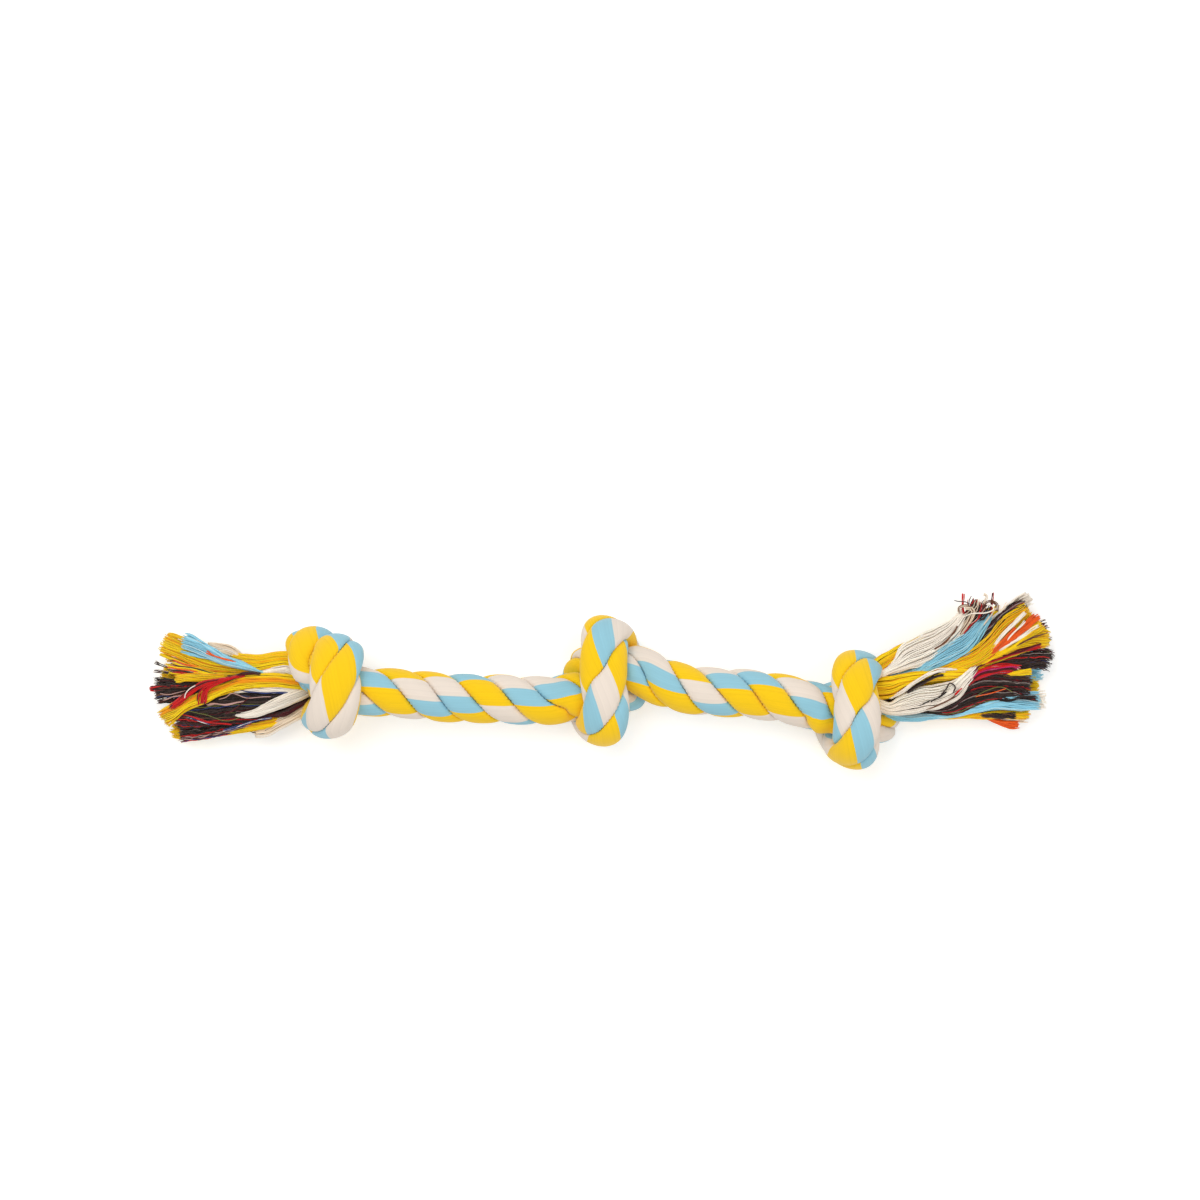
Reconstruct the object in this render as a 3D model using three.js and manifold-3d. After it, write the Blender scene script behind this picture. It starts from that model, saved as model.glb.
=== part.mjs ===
// Knotted rope dog toy: one three-strand cotton rope with three overhand knots and a frayed tassel at
// each end. Millimetres, X along the toy, Y across it, +Z up, floor at Z = 0.
import * as THREE from 'three';
import { mergeVertices } from 'three/addons/utils/BufferGeometryUtils.js';
import Module from 'manifold-3d';

// Rope
const ROPE_RADIUS = 10.3;
const STRANDS = ['a', 'b', 'c'];
const STRAND_GAP = 0.5;
const STRAND_CROWN = [[-0.97, 0.84], [-0.66, 0.965], [-0.24, 1], [0.24, 1], [0.66, 0.965], [0.97, 0.84]];
const LAY_LENGTH = 45.7;
const FIRST_STRAND_TURN = 0.278;
const KNOT_SQUEEZE = 0.445;
const SQUEEZE_HOLD = 3.5;
const SQUEEZE_RUN = 9;

// Stretches of rope
const KNOT_EXIT = 6;
const BEND_RUN = 18;
const NECK_RUN = 11;
const STRETCH_GAP = 0.4;
const STEP = 3.6;
const ROUTE_SAMPLES = 24;

// Half of an overhand knot in rope diameters, from the middle of the front turn towards the right rope.
// The other half is the same turned by half a turn about the vertical.
const KNOT_HALF = [
  [0, 0, 0.65], [-0.15, -0.66, 0.63], [-0.36, -1.20, 0.30], [-0.54, -1.39, -0.31],
  [-0.61, -1.14, -0.92], [-0.62, -0.56, -1.25], [-0.50, 0.09, -1.14], [-0.21, 0.48, -0.70],
  [0.31, 0.44, -0.30],
];

// Each knot: its middle, its rope diameter along X, Y and Z, its roll about the rope, the lean of its
// front turn, how much wider its rope is pressed flat along X, the lay of its strands, and where the
// rope enters and leaves it.
const KNOTS = {
  left_knot: {
    centre: [-115.5, -1, 20], size: [14.8, 15, 12], roll: 105, lean: 0, flat: 1.02, lay: 60.8,
    mouths: [[-131, 3.2, 16.6], [-100, -0.2, 24.5]],
  },
  mid_knot: {
    centre: [1.9, 4.2, 22.9], size: [15.2, 14.7, 14], roll: -4, lean: 0.27, flat: 1.1, lay: 61.7,
    mouths: [[-14, -3.2, 19.4], [18, 7.4, 19.4]],
  },
  right_knot: {
    centre: [107.5, -7.6, 23.4], size: [16.5, 13.2, 14], roll: -12, lean: 0.27, flat: 1.06, lay: 58.7,
    mouths: [[91, -7.4, 19.6], [124.5, -0.6, 19]],
  },
};

// Free rope between and beyond the knots, points of the middle line
const LEFT_TAIL = [[-192, 0.5, 10.5], [-168, 0.5, 11.5], [-147.5, 1.5, 15.5]];
const LEFT_SPAN = [[-81, -1.6, 22.8], [-63, -3.3, 21], [-42, -3.8, 21], [-23, -4.6, 21]];
const RIGHT_SPAN = [[28.5, 2.5, 21], [42, -0.4, 21], [63, -1.7, 21], [82, -4.6, 21]];
const RIGHT_TAIL = [[140.5, 6.8, 16], [152, 12.8, 13.5], [168, 13.4, 12], [190, 12.8, 11]];

// Middle of the toy's box on the floor, in the coordinates of the lists above
const MIDDLE = [-0.24, 2.22, 0];

// Tassels: spread of the yarn locks across and upward at the tips, and length of each lock. Corners of
// the locks' sections are degrees from the lock's middle and shares of the core's or tassel's radius.
const TASSEL_RADIUS = 10.6;
const CORE_SHARE = 0.52;
const CORE_CORNERS = [[-54, 0.8], [-32, 1], [0, 1], [32, 1], [54, 0.8]];
const COVER_CORNERS = [
  [-15, CORE_SHARE], [-18, 0.78], [-14, 0.95], [0, 1], [14, 0.95], [18, 0.78], [15, CORE_SHARE],
];
const LOCK_GAP = 0.5;
const LOCK_STEPS = 9;
const TIP_STEPS = 2;
const TIP_TAPER = 0.45;
const FAN_PACE = 1.25;
const TASSELS = {
  left_tassel: { across: 2.05, up: 0.85, start: 1.15, reach: 41 },
  right_tassel: { across: 2.3, up: 0.9, start: 1.2, reach: 50 },
};
const COVER_LENGTHS = [0.96, 1.0, 0.93, 0.98, 0.91, 1.0, 0.95, 0.9, 0.97];
const CORE_LENGTHS = [0.94, 0.99, 0.92];

// Yarn colours
const YARNS = {
  yellow: { color: 0xf4c614, roughness: 0.9, metalness: 0 },
  white: { color: 0xe9dfd6, roughness: 0.92, metalness: 0 },
  blue: { color: 0x86c3dc, roughness: 0.9, metalness: 0 },
  dark: { color: 0x3a2a2c, roughness: 0.95, metalness: 0 },
};
const COVERS = ['yellow', 'white', 'blue'];

const wasm = await Module();
wasm.setup();
const toy = new THREE.Group();
const vector = (p) => new THREE.Vector3(p[0], p[1], p[2]);
const smooth = (x) => THREE.MathUtils.smoothstep(x, 0, 1);

// Linear map of a knot: rope diameters to millimetres.
function knotMap(knot) {
  const map = new THREE.Matrix4().makeScale(...knot.size);
  map.multiply(new THREE.Matrix4().makeShear(0, 0, -knot.lean, 0, 0, 0));
  map.multiply(new THREE.Matrix4().makeRotationX(THREE.MathUtils.degToRad(knot.roll)));
  return map;
}

function knotPoints(knot) {
  const back = KNOT_HALF.slice(1).reverse().map(([x, y, z]) => [-x, -y, z]);
  const map = knotMap(knot);
  const place = (p) => vector(p).applyMatrix4(map).add(vector(knot.centre));
  const [enter, leave] = knot.mouths.map(vector);
  return [enter, ...[...back, ...KNOT_HALF].map(place), leave];
}

// The route of the rope, sampled evenly by length.
const knotNames = Object.keys(KNOTS);
const routePoints = [];
const knotEnds = {};
const runs = [LEFT_TAIL, 'left_knot', LEFT_SPAN, 'mid_knot', RIGHT_SPAN, 'right_knot', RIGHT_TAIL];
for (const run of runs) {
  if (typeof run === 'string') {
    const points = knotPoints(KNOTS[run]);
    knotEnds[run] = [routePoints.length, routePoints.length + points.length - 1];
    routePoints.push(...points);
  } else {
    routePoints.push(...run.map(vector));
  }
}
routePoints.forEach((p) => p.sub(vector(MIDDLE)));
const curve = new THREE.CatmullRomCurve3(routePoints, false, 'catmullrom', 0.5);
const dense = curve.getPoints((routePoints.length - 1) * ROUTE_SAMPLES);
const lengths = [0];
dense.forEach((p, i) => {
  if (i > 0) {
    lengths.push(lengths[i - 1] + p.distanceTo(dense[i - 1]));
  }
});
const ropeLength = lengths[lengths.length - 1];
const knotSpan = {};
for (const name of knotNames) {
  knotSpan[name] = knotEnds[name].map((i) => lengths[i * ROUTE_SAMPLES]);
}

// How far a place on the rope is inside a knot, from 0 to 1.
function inKnot(name, s) {
  const before = s - knotSpan[name][0] + SQUEEZE_HOLD + SQUEEZE_RUN;
  const after = knotSpan[name][1] - s + SQUEEZE_HOLD + SQUEEZE_RUN;
  return smooth(before / SQUEEZE_RUN) * smooth(after / SQUEEZE_RUN);
}

// Direction, carried normal and lay of the rope at every dense sample.
const tangents = dense.map((p, i) => {
  const next = dense[Math.min(i + 1, dense.length - 1)];
  return next.clone().sub(dense[Math.max(i - 1, 0)]).normalize();
});
const normals = [];
const turns = [];
tangents.forEach((t, i) => {
  const start = i > 0 ? normals[i - 1] : new THREE.Vector3(0, 0, 1);
  normals.push(start.clone().addScaledVector(t, -start.dot(t)).normalize());
  let rate = 1 / LAY_LENGTH;
  for (const name of knotNames) {
    rate += inKnot(name, lengths[i]) * (1 / KNOTS[name].lay - 1 / LAY_LENGTH);
  }
  const step = i > 0 ? lengths[i] - lengths[i - 1] : 0;
  turns.push((i > 0 ? turns[i - 1] : FIRST_STRAND_TURN) + step * rate);
});

// The rope at length s: middle, section map, the two section directions and the lay.
function ropeAt(s) {
  let i = 1;
  while (i < lengths.length - 1 && lengths[i] < s) {
    i += 1;
  }
  const w = (s - lengths[i - 1]) / (lengths[i] - lengths[i - 1]);
  const middle = dense[i - 1].clone().lerp(dense[i], w);
  const tangent = tangents[i - 1].clone().lerp(tangents[i], w).normalize();
  const normal = normals[i - 1].clone().lerp(normals[i], w);
  const map = new THREE.Matrix4().makeScale(ROPE_RADIUS, ROPE_RADIUS, ROPE_RADIUS);
  for (const name of knotNames) {
    const part = inKnot(name, s);
    const full = knotMap(KNOTS[name]);
    full.premultiply(new THREE.Matrix4().makeScale(KNOTS[name].flat, 1, 1));
    const free = new THREE.Matrix4().makeScale(ROPE_RADIUS, ROPE_RADIUS, ROPE_RADIUS);
    map.elements.forEach((value, k) => {
      if (k < 15) {
        map.elements[k] = value + part * (full.elements[k] * KNOT_SQUEEZE - free.elements[k]);
      }
    });
  }
  const along = tangent.clone().applyMatrix4(map.clone().invert()).normalize();
  const side = normal.addScaledVector(along, -normal.dot(along)).normalize();
  const other = along.clone().cross(side);
  return { middle, tangent, map, side, other, turn: turns[i - 1] + w * (turns[i] - turns[i - 1]) };
}

// Section of one strand in rope radii: a third of the rope with a rounded crown, inner corner first.
function strandSection() {
  const half = STRAND_GAP / 2 / ROPE_RADIUS;
  const third = Math.PI / 3;
  const points = [[half / Math.sin(third), 0]];
  for (const [turn, radius] of STRAND_CROWN) {
    const angle = turn * third;
    const shift = Math.abs(turn) > 0.9 ? half * Math.sign(turn) : 0;
    points.push([radius * Math.cos(angle), radius * Math.sin(angle) - shift]);
  }
  return points;
}

// Closed body from rings of points. Edge 0 and the last edge are split by the same diagonal, so that
// the flat sides of neighbouring strands stay parallel.
function ringBody(rings) {
  const count = rings[0].length;
  const positions = rings.flat().flatMap((p) => [p.x, p.y, p.z]);
  const index = [];
  for (let i = 0; i + 1 < rings.length; i += 1) {
    for (let j = 0; j < count; j += 1) {
      const k = (j + 1) % count;
      const [p, q] = [i * count + j, i * count + k];
      const [r, t] = [p + count, q + count];
      if (j === count - 1) {
        index.push(p, q, r, q, t, r);
      } else {
        index.push(p, q, t, p, t, r);
      }
    }
  }
  const last = (rings.length - 1) * count;
  for (let j = 1; j + 1 < count; j += 1) {
    index.push(0, j + 1, j, last, last + j, last + j + 1);
  }
  const geometry = new THREE.BufferGeometry();
  geometry.setAttribute('position', new THREE.Float32BufferAttribute(positions, 3));
  geometry.setIndex(index);
  return geometry;
}

function solid(geometry) {
  const clean = mergeVertices(geometry, 1e-4);
  const vertProperties = new Float32Array(clean.attributes.position.array);
  const triVerts = new Uint32Array(clean.index.array);
  return new wasm.Manifold(new wasm.Mesh({ numProp: 3, vertProperties, triVerts }));
}

// The part of a body above the floor.
function onFloor(geometry) {
  geometry.computeBoundingBox();
  if (geometry.boundingBox.min.z >= 0) {
    return geometry;
  }
  const size = 600;
  const floor = new THREE.BoxGeometry(size, size, size).translate(0, 0, -size / 2);
  floor.deleteAttribute('normal');
  floor.deleteAttribute('uv');
  const mesh = solid(geometry).subtract(solid(floor)).getMesh();
  const cut = new THREE.BufferGeometry();
  cut.setAttribute('position', new THREE.BufferAttribute(new Float32Array(mesh.vertProperties), 3));
  cut.setIndex(new THREE.BufferAttribute(new Uint32Array(mesh.triVerts), 1));
  return cut;
}

function addBody(name, geometry, yarn) {
  const flat = onFloor(geometry).toNonIndexed();
  flat.computeVertexNormals();
  const mesh = new THREE.Mesh(flat, new THREE.MeshStandardMaterial(YARNS[yarn]));
  mesh.name = name;
  toy.add(mesh);
}

// One strand of the rope from length s0 to s1.
function strandBody(number, s0, s1) {
  const section = strandSection();
  const steps = Math.max(3, Math.ceil((s1 - s0) / STEP));
  const rings = [];
  for (let i = 0; i <= steps; i += 1) {
    const rope = ropeAt(s0 + (s1 - s0) * (i / steps));
    const angle = 2 * Math.PI * (rope.turn + number / STRANDS.length);
    const [c, n] = [Math.cos(angle), Math.sin(angle)];
    rings.push(section.map(([x, y]) => {
      const offset = rope.side.clone().multiplyScalar(x * c - y * n);
      offset.addScaledVector(rope.other, x * n + y * c).applyMatrix4(rope.map);
      return offset.add(rope.middle);
    }));
  }
  return ringBody(rings);
}

function addStrands(name, s0, s1) {
  STRANDS.forEach((letter, number) => {
    addBody(`${name}_strand_${letter}`, strandBody(number, s0, s1), COVERS[number]);
  });
}

// Knots, with the stretches of rope between them: a bend by each knot and a plain middle.
for (const name of knotNames) {
  addStrands(name, knotSpan[name][0] - KNOT_EXIT, knotSpan[name][1] + KNOT_EXIT);
}
const pivots = {};
function addSpan(name, from, to) {
  const start = knotSpan[from][1] + KNOT_EXIT + STRETCH_GAP;
  const end = knotSpan[to][0] - KNOT_EXIT - STRETCH_GAP;
  addStrands(`${name}_first_bend`, start, start + BEND_RUN);
  addStrands(name, start + BEND_RUN + STRETCH_GAP, end - BEND_RUN - STRETCH_GAP);
  addStrands(`${name}_last_bend`, end - BEND_RUN, end);
  pivots[`${name}_first_bend`] = ropeAt(start + BEND_RUN / 2).middle;
  pivots[`${name}_last_bend`] = ropeAt(end - BEND_RUN / 2).middle;
}
addSpan('left_span', 'left_knot', 'mid_knot');
addSpan('right_span', 'mid_knot', 'right_knot');

// Sections of the yarn locks of one tassel in tassel radii: a core and three covers for each strand,
// starting from the direction of the first strand in degrees.
function lockSections(first) {
  const gap = LOCK_GAP / TASSEL_RADIUS;
  const locks = [];
  const polar = (radius, degrees) => {
    const angle = THREE.MathUtils.degToRad(degrees);
    return [radius * Math.cos(angle), radius * Math.sin(angle)];
  };
  const inner = CORE_SHARE - gap;
  STRANDS.forEach((letter, number) => {
    const middle = first + (360 / STRANDS.length) * number;
    const core = [polar(1.3 * gap, middle)];
    for (const [turn, radius] of CORE_CORNERS) {
      core.push(polar(inner * radius, middle + turn));
    }
    locks.push({ name: `dark_lock_${letter}`, yarn: 'dark', points: core, share: CORE_LENGTHS[number] });
    COVERS.forEach((yarn, place) => {
      const at = middle + (360 / STRANDS.length / COVERS.length) * (place - 1);
      const outline = COVER_CORNERS.map(([turn, radius]) => polar(radius, at + turn));
      const share = COVER_LENGTHS[number * COVERS.length + place];
      locks.push({ name: `${yarn}_lock_${letter}`, yarn, points: outline, share });
    });
  });
  return locks;
}

// Directions across and up from the rope.
function crossways(rope) {
  const across = new THREE.Vector3(0, 0, 1).cross(rope.tangent).normalize();
  return { across, up: rope.tangent.clone().cross(across) };
}

// Direction of the first strand at a place on the rope, in degrees from across towards up.
function strandDirection(rope) {
  const angle = 2 * Math.PI * rope.turn;
  const strand = rope.side.clone().multiplyScalar(Math.cos(angle));
  strand.addScaledVector(rope.other, Math.sin(angle));
  const { across, up } = crossways(rope);
  return THREE.MathUtils.radToDeg(Math.atan2(strand.dot(up), strand.dot(across)));
}

// Yarn locks of one tassel, fanned out from the root at length s along the rope.
function addTassel(name, root, way) {
  const shape = TASSELS[name];
  for (const lock of lockSections(strandDirection(ropeAt(root)))) {
    const centre = [0, 1].map((k) => lock.points.reduce((sum, p) => sum + p[k], 0) / lock.points.length);
    const rings = [];
    for (let i = 0; i <= LOCK_STEPS; i += 1) {
      const share = i / LOCK_STEPS;
      const rope = ropeAt(root + way * shape.reach * lock.share * share);
      const { across, up } = crossways(rope);
      const fan = smooth(share * FAN_PACE) * lock.share;
      const tip = Math.max(0, (share * LOCK_STEPS - LOCK_STEPS + TIP_STEPS) / TIP_STEPS);
      const keep = 1 - TIP_TAPER * tip * tip;
      const ring = lock.points.map((p) => {
        const x = centre[0] + (p[0] - centre[0]) * keep;
        const y = centre[1] + (p[1] - centre[1]) * keep;
        const sideways = TASSEL_RADIUS * x * (shape.start + (shape.across - shape.start) * fan);
        const upward = TASSEL_RADIUS * y * (1 + (shape.up - 1) * fan);
        return rope.middle.clone().addScaledVector(across, sideways).addScaledVector(up, upward);
      });
      rings.push(ring);
    }
    addBody(`${name}_${lock.name}`, ringBody(way > 0 ? rings : rings.reverse()), lock.yarn);
  }
}
const leftNeck = knotSpan.left_knot[0] - KNOT_EXIT - STRETCH_GAP;
const rightNeck = knotSpan.right_knot[1] + KNOT_EXIT + STRETCH_GAP;
addStrands('left_neck', leftNeck - NECK_RUN, leftNeck);
addStrands('right_neck', rightNeck, rightNeck + NECK_RUN);
pivots.left_neck = ropeAt(leftNeck - NECK_RUN / 2).middle;
pivots.right_neck = ropeAt(rightNeck + NECK_RUN / 2).middle;
addTassel('left_tassel', leftNeck - NECK_RUN - STRETCH_GAP, -1);
addTassel('right_tassel', rightNeck + NECK_RUN + STRETCH_GAP, 1);

// Least room between passes of the rope inside each knot, measured between its strand sections.
function leastKnotGap(name) {
  const sections = [];
  const [from, to] = knotSpan[name];
  const probe = 1.5;
  const away = 26;
  for (let s = from - KNOT_EXIT; s <= to + KNOT_EXIT; s += probe) {
    const rope = ropeAt(s);
    const points = [];
    for (let k = 0; k < 24; k += 1) {
      const angle = (Math.PI * k) / 12;
      const offset = rope.side.clone().multiplyScalar(Math.cos(angle));
      points.push(offset.addScaledVector(rope.other, Math.sin(angle)).applyMatrix4(rope.map).add(rope.middle));
    }
    sections.push({ s, points });
  }
  let least = Infinity;
  sections.forEach((one, i) => sections.slice(i + 1).forEach((two) => {
    if (two.s - one.s > away) {
      one.points.forEach((p) => two.points.forEach((q) => {
        least = Math.min(least, p.distanceTo(q));
      }));
    }
  }));
  return least;
}
console.log('rope length', ropeLength.toFixed(1));
for (const name of knotNames) {
  console.log('least gap inside', name, leastKnotGap(name).toFixed(2));
}
for (const [name, p] of Object.entries(pivots)) {
  console.log('pivot', name, p.toArray().map((v) => v.toFixed(2)).join(' '));
}

export default toy;
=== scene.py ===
import math

import bpy
import numpy as np
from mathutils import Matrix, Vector


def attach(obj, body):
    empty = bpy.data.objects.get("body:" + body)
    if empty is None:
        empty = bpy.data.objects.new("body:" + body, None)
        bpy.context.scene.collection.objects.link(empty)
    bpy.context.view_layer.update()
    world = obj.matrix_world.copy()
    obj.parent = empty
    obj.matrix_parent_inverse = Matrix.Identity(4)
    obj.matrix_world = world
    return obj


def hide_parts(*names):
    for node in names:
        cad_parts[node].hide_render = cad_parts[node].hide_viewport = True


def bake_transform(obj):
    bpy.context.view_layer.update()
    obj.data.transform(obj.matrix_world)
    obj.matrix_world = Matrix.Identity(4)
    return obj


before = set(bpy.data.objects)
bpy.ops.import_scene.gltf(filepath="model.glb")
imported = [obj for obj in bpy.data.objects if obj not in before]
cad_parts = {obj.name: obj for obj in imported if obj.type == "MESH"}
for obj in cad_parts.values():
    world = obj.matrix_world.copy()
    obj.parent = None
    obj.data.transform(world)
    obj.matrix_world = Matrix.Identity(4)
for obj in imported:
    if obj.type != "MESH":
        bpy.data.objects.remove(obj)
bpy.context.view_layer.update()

MM = 0.001

# Camera, straight above the toy as in the photograph
CAMERA_PLACE = (0.00024, 0.03558, 1.5)
CAMERA_SENSOR = 36.0     # millimetres
FIELD = 0.504            # width of the picture at the height of the rope
ROPE_HEIGHT = 0.021


def add_object(name, data):
    made = bpy.data.objects.new(name, data)
    bpy.context.scene.collection.objects.link(made)
    return made


def add_camera():
    data = bpy.data.cameras.new("camera")
    data.sensor_width = CAMERA_SENSOR
    data.lens = CAMERA_SENSOR * (CAMERA_PLACE[2] - ROPE_HEIGHT) / FIELD
    camera = add_object("camera", data)
    camera.location = CAMERA_PLACE
    bpy.context.scene.camera = camera


add_camera()

# The rope's route, as in the CAD source, and how its soft strands run there
ROPE_RADIUS = 10.3
STRANDS = "abc"
LAY_LENGTH = 45.7
FIRST_STRAND_TURN = 0.278
SQUEEZE_HOLD = 3.5
SQUEEZE_RUN = 9.0
FULL_HOLD = -13.0        # the soft rope swells to its full thickness as it leaves a knot
PRESS_HOLD = -8.0
KNOT_EXIT = 6.0
BEND_RUN = 18.0
TASSEL_MOUTH = 9.0       # where the strands open into loose yarns, inside the outer knots
ROUTE_SAMPLES = 24
# Half of an overhand knot. The other half is the same one turned about Z.
KNOT_HALF = np.array([
    [0, 0, 0.65], [-0.15, -0.66, 0.63], [-0.36, -1.20, 0.30], [-0.54, -1.39, -0.31],
    [-0.61, -1.14, -0.92], [-0.62, -0.56, -1.25], [-0.50, 0.09, -1.14], [-0.21, 0.48, -0.70],
    [0.31, 0.44, -0.30],
])
# Beyond the CAD source, press draws the turns of a knot together, and wide makes its rope broader
KNOTS = {
    "left_knot": dict(
        centre=(-115.5, -1, 20), size=(14.8, 15, 12), roll=105, lean=0, lay=60.8, fill=0.51,
        press=0.65, wide=1.45, mouths=((-131, 3.2, 16.6), (-100, -0.2, 24.5)),
    ),
    "mid_knot": dict(
        centre=(1.9, 4.2, 22.9), size=(15.2, 14.7, 14), roll=-4, lean=0.27, lay=61.7, fill=0.50,
        press=1, wide=1.28, mouths=((-14, -3.2, 19.4), (18, 7.4, 19.4)),
    ),
    "right_knot": dict(
        centre=(107.5, -7.6, 23.4), size=(16.5, 13.2, 14), roll=-12, lean=0.27, lay=58.7, fill=0.53,
        press=1, wide=1.1, mouths=((91, -7.4, 19.6), (124.5, -0.6, 19)),
    ),
}
LEFT_TAIL = [(-192, 0.5, 10.5), (-168, 0.5, 11.5), (-147.5, 1.5, 15.5)]
LEFT_SPAN = [(-81, -1.6, 22.8), (-63, -3.3, 21), (-42, -3.8, 21), (-23, -4.6, 21)]
RIGHT_SPAN = [(28.5, 2.5, 21), (42, -0.4, 21), (63, -1.7, 21), (82, -4.6, 21)]
RIGHT_TAIL = [(140.5, 6.8, 16), (152, 12.8, 13.5), (168, 13.4, 12), (190, 12.8, 11)]
MIDDLE = np.array([-0.24, 2.22, 0])

# Strands: yarns round each strand, and how its colours lie
YARNS = 56
POINTS_PER_YARN = 3
YARN_RIDGE = (0.0, 1.0, 1.0)     # how high the points of a yarn stand
YARN_HEIGHT = 0.007      # in rope radii
YARN_SPREAD = (0.85, 1.15)       # how much yarns differ in thickness
RIDGE_POWER = 8          # how late the ridges of the yarns fade towards the grooves
RING_STEP = 1.15
LEAST_RINGS = 4
END_TUCK = 0.8           # each stretch goes on a little inside the next, just under its surface
END_SHRINK = 0.012
CROWN_HALF = math.radians(59.2)  # half the angle of a strand's crown
HEART = 0.06             # how near a strand comes to the rope's middle, in rope radii
GROOVE = 0.17            # depth of the grooves between strands, in rope radii
GROOVE_POWER = 2.7
FLOOR_SOFTNESS = 0.5     # how gently points come down on the floor
FLOOR_CLEARANCE = 0.1
YELLOW_SHARE = 0.42
WHITE_SHARE = 0.32
TWIST = 2.25             # colour cycles for each turn of the lay
SPAN_CYCLES = 2.22       # colour cycles round the whole rope, in the spans and in the knots
KNOT_CYCLES = 1.6
# Colour phase of strands a, b and c over each stretch: start, end, phases
PHASES = [
    (0, 112, 0.80, 0.75, 0.15),
    (130, 146, 0.40, 0.70, 0.25),
    (190, 212, 0.15, 0.60, -0.15),
    (230, 316, -0.10, 1.10, -0.25),
    (365, 450, 0.20, 1.25, 0.10),
    (468, 478, 0.60, 1.70, 0.05),
    (494, 574, 0.65, 1.90, 0.00),
    (582, 610, 0.70, 1.95, 0.05),
    (630, 704, 1.00, 1.40, -0.10),
    (745, 821, 1.05, 1.30, -0.55),
]


def smooth(share):
    share = np.clip(share, 0, 1)
    return share * share * (3 - 2 * share)


def turn_x(degrees):
    cosine, sine = math.cos(math.radians(degrees)), math.sin(math.radians(degrees))
    return np.array([[1, 0, 0], [0, cosine, -sine], [0, sine, cosine]])


def unit(vectors):
    return vectors / np.linalg.norm(vectors, axis=-1, keepdims=True)


def knot_map(knot):
    lean = np.array([[1, -knot["lean"], 0], [0, 1, 0], [0, 0, 1]])
    return np.diag(knot["size"]) @ lean @ turn_x(knot["roll"])


def knot_points(knot):
    back = KNOT_HALF[:0:-1] * (-1, -1, 1)
    turns = np.vstack([back, KNOT_HALF]) @ knot_map(knot).T + np.array(knot["centre"])
    enter, leave = knot["mouths"]
    return np.vstack([enter, turns, leave])


class Rope:
    """The middle line of the rope with its carried normal, lay and section map."""

    def __init__(self):
        points, ends = [], {}
        for run in (LEFT_TAIL, "left_knot", LEFT_SPAN, "mid_knot", RIGHT_SPAN, "right_knot", RIGHT_TAIL):
            added = knot_points(KNOTS[run]) if isinstance(run, str) else np.array(run, float)
            if isinstance(run, str):
                ends[run] = (len(points), len(points) + len(added) - 1)
            points += list(added - MIDDLE)
        self.line = self.curve(np.array(points))
        steps = np.linalg.norm(np.diff(self.line, axis=0), axis=1)
        self.lengths = np.concatenate([[0], np.cumsum(steps)])
        self.knots = {}
        for name, places in ends.items():
            self.knots[name] = tuple(self.lengths[place * ROUTE_SAMPLES] for place in places)
        self.tangent = self.tangents()
        self.normal = np.zeros_like(self.line)
        carried = np.array([0, 0, 1.0])
        for row, tangent in enumerate(self.tangent):
            carried = unit(carried - carried @ tangent * tangent)
            self.normal[row] = carried
        rate = np.full(len(self.line), 1 / LAY_LENGTH)
        for name, knot in KNOTS.items():
            rate += self.inside(name, self.lengths, SQUEEZE_HOLD) * (1 / knot["lay"] - 1 / LAY_LENGTH)
        self.turn = FIRST_STRAND_TURN + np.cumsum(np.concatenate([[0], steps]) * rate)
        self.press()

    def press(self):
        """Turns of a knot drawn together along X, as soft rope lies."""
        for name, knot in KNOTS.items():
            part = self.inside(name, self.lengths, PRESS_HOLD)
            middle = knot["centre"][0] - MIDDLE[0]
            self.line[:, 0] += part * (knot["press"] - 1) * (self.line[:, 0] - middle)
        self.tangent = self.tangents()

    def tangents(self):
        count = np.arange(len(self.line))
        ahead, behind = np.minimum(count + 1, count[-1]), np.maximum(count - 1, 0)
        return unit(self.line[ahead] - self.line[behind])

    @staticmethod
    def curve(points):
        """Uniform Catmull-Rom curve through the points."""
        first, last = 2 * points[0] - points[1], 2 * points[-1] - points[-2]
        line = np.vstack([first, points, last])
        share = (np.arange(ROUTE_SAMPLES) / ROUTE_SAMPLES)[:, None]
        pieces = []
        for before, start, end, after in zip(line, line[1:], line[2:], line[3:]):
            square = 2 * before - 5 * start + 4 * end - after
            cube = 3 * start - before - 3 * end + after
            pieces.append(0.5 * (2 * start + (end - before) * share + square * share**2 + cube * share**3))
        return np.vstack(pieces + [points[-1:]])

    def inside(self, name, length, hold):
        """How far a place on the rope is inside a knot, from 0 to 1."""
        start, end = self.knots[name]
        before = smooth((length - start + hold + SQUEEZE_RUN) / SQUEEZE_RUN)
        return before * smooth((end - length + hold + SQUEEZE_RUN) / SQUEEZE_RUN)

    def sample(self, values, length):
        return np.stack([np.interp(length, self.lengths, column) for column in values.T], 1)

    def at(self, length):
        """Middle, section map, two section directions and lay at each length."""
        free = np.eye(3) * ROPE_RADIUS
        section = np.repeat(free[None], len(length), 0)
        for name, knot in KNOTS.items():
            pressed = np.diag([knot["wide"], 1, 1]) @ knot_map(knot) * knot["fill"]
            section = section + self.inside(name, length, FULL_HOLD)[:, None, None] * (pressed - free)
        tangent = unit(self.sample(self.tangent, length))
        along = unit(np.einsum("nij,nj->ni", np.linalg.inv(section), tangent))
        side = self.sample(self.normal, length)
        side = unit(side - (side * along).sum(1, keepdims=True) * along)
        turn = np.interp(length, self.lengths, self.turn)
        return self.sample(self.line, length), section, side, np.cross(along, side), turn


rope = Rope()


def colour_phase(number, length):
    places = [place for row in PHASES for place in row[:2]]
    values = [row[2 + number] for row in PHASES for _ in range(2)]
    return np.interp(length, places, values)


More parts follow.
